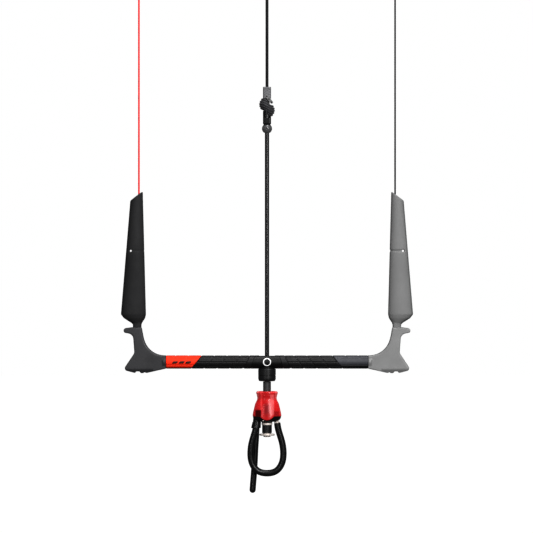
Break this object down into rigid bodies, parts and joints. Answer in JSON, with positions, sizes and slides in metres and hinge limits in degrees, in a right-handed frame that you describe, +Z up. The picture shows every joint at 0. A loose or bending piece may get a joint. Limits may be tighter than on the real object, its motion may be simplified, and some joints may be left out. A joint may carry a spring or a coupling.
{
  "type": "kitesurf control bar",
  "caption": "Kitesurf control bar with padded ends, foam floats, sliding and tilting bar on a centre line, trim cleat, push-away release and harness loop.",
  "frame": {"origin": "centre of the bar, where its axis meets the centre line", "axes": "+Z up the lines to the kite, +X to the rider's right hand, -Y to the front"},
  "size_m": [0.5792, 0.0428, 0.9824],
  "materials": {
    "grip_black": "satin, ribbed",
    "grip_orange": "matt",
    "grip_slate": "matt",
    "hub_black": "satin moulded",
    "end_dark": "satin moulded",
    "end_grey": "satin moulded",
    "foam_black": "matt foam",
    "foam_grey": "matt foam",
    "tube_alloy": "anodised",
    "steel": "brushed",
    "rope_red": "braided",
    "rope_black": "braided",
    "rope_grey": "braided",
    "pu_tube": "glossy",
    "ball_grey": "satin",
    "red_clear": "translucent",
    "core_black": "satin moulded",
    "loop_black": "satin"
  },
  "bodies": {
    "core": {"stem_tube": "core_black", "swivel_washers": "steel", "core_base": "core_black", "stud_cap": "core_black", "latch_pin": "steel", "return_spring": "steel", "safety_collar": "steel", "swivel_housing": "core_black", "leash_bolt": "steel", "leash_washer": "steel", "leash_nut": "steel"},
    "sleeve": {"release_sleeve": "red_clear"},
    "latch": {"latch_pawl": "steel"},
    "leash": {"leash_plate": "steel"},
    "loop": {"loop_tube": "loop_black", "loop_core": "rope_grey", "loop_cuff": "loop_black", "loop_stud": "steel", "loop_spigot": "steel", "finger_collar": "loop_black", "finger_pin": "steel"},
    "finger_arm": {"finger": "loop_black"},
    "centre_line": {"centre_tube": "pu_tube", "swivel_shaft": "steel", "safety_line": "rope_red", "stopper_ball": "ball_grey", "stopper_screw": "steel", "cleat_housing": "core_black", "cleat": "tube_alloy", "trim_coil": "rope_black", "cleat_link": "steel"},
    "trim_line": {"upper_line": "rope_black"},
    "guide": {"guide_ball": "pu_tube"},
    "bar": {"bar_tube": "tube_alloy", "hub_shell_front": "hub_black", "hub_shell_back": "hub_black", "hub_collar": "hub_black", "hub_collar_pins": "steel", "tread_grip_left": "grip_black", "tread_grip_right": "grip_black", "colour_grip_left": "grip_orange", "colour_grip_right": "grip_slate", "bar_end_left": "end_dark", "bar_end_right": "end_grey", "bar_end_pins": "steel", "leader_left": "rope_red", "leader_right": "rope_black"},
    "left_float": {"float_left": "foam_black", "steering_line_left": "rope_red"},
    "right_float": {"float_right": "foam_grey", "steering_line_right": "rope_black"}
  },
  "joints": [
    {"name": "swivel_spin", "type": "hinge", "parent": "core", "child": "centre_line", "pos_m": [0, 0, -0.104], "axis": [0, 0, 1], "continuous": true},
    {"name": "bar_throw", "type": "slide", "parent": "centre_line", "child": "guide", "axis": [0, 0, 1], "range_m": [0, 0.43]},
    {"name": "bar_tilt", "type": "hinge", "parent": "guide", "child": "bar", "pos_m": [0, 0, -0.02], "axis": [0, 1, 0], "range_deg": [-18, 18]},
    {"name": "float_left_flex", "type": "hinge", "parent": "bar", "child": "left_float", "pos_m": [-0.2575, 0, 0.071], "axis": [0, 1, 0], "range_deg": [-18, 18]},
    {"name": "float_right_flex", "type": "hinge", "parent": "bar", "child": "right_float", "pos_m": [0.2575, 0, 0.071], "axis": [0, 1, 0], "range_deg": [-18, 18]},
    {"name": "trim_slide", "type": "slide", "parent": "centre_line", "child": "trim_line", "axis": [0, 0, 1], "range_m": [0, 0.055]},
    {"name": "release_push", "type": "slide", "parent": "core", "child": "sleeve", "axis": [0, 0, 1], "range_m": [0, 0.012], "deforming": ["return_spring"]},
    {"name": "latch_turn", "type": "hinge", "parent": "core", "child": "latch", "pos_m": [0.013, 0, -0.097], "axis": [0, 1, 0], "range_deg": [0, 5.73]},
    {"name": "loop_swing", "type": "hinge", "parent": "core", "child": "loop", "pos_m": [-0.02, 0, -0.116], "axis": [0, 0, 1], "range_deg": [0, 75]},
    {"name": "finger_flex", "type": "hinge", "parent": "loop", "child": "finger_arm", "pos_m": [-0.0205, 0.0134, -0.127], "axis": [1, 0, 0], "range_deg": [0, 60]},
    {"name": "leash_spin", "type": "hinge", "parent": "core", "child": "leash", "pos_m": [0, 0, -0.144], "axis": [0, 0, 1], "continuous": true}
  ],
  "couplings": [
    {"joint": "float_left_flex", "follows": "bar_tilt", "ratio": -1},
    {"joint": "float_right_flex", "follows": "bar_tilt", "ratio": -1},
    {"joint": "latch_turn", "follows": "release_push", "rad_per_m": 8.3333}
  ]
}
